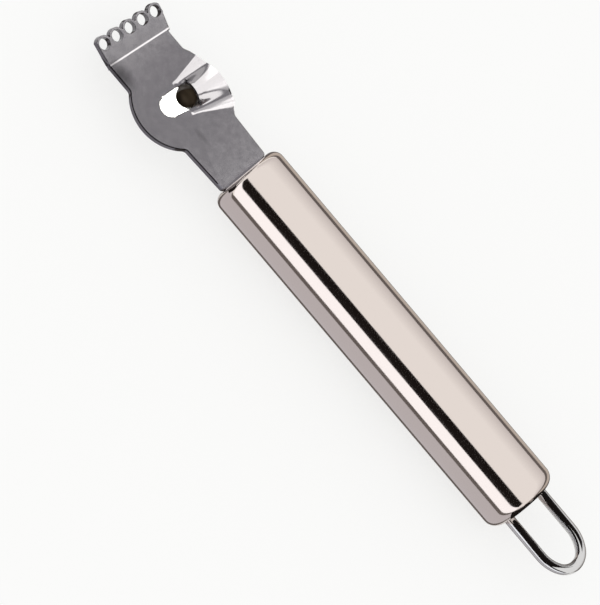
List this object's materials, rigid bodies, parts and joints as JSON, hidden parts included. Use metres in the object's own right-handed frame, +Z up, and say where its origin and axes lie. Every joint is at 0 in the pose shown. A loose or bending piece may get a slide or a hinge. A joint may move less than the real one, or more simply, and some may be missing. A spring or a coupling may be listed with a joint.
{
  "type": "citrus zester",
  "caption": "Citrus zester with a round tube handle, a stamped blade with a ringed zesting tip and a fluted channel knife, and a wire hanging loop.",
  "frame": {"origin": "centre of the whole tool's box, at the height of the surface that the handle lies on", "axes": "+Y along the handle from the loop to the zesting tip, +X towards the fluted side of the blade, +Z up, with the blade and the loop level"},
  "size_m": [0.0234, 0.1668, 0.019],
  "materials": {
    "blade_steel": "satin",
    "handle_steel": "polished",
    "cap_steel": "polished",
    "wire_steel": "polished"
  },
  "bodies": {
    "root": {"blade": "blade_steel", "handle_tube": "handle_steel", "front_cap": "cap_steel", "rear_cap": "cap_steel", "hanging_loop": "wire_steel"}
  },
  "joints": []
}
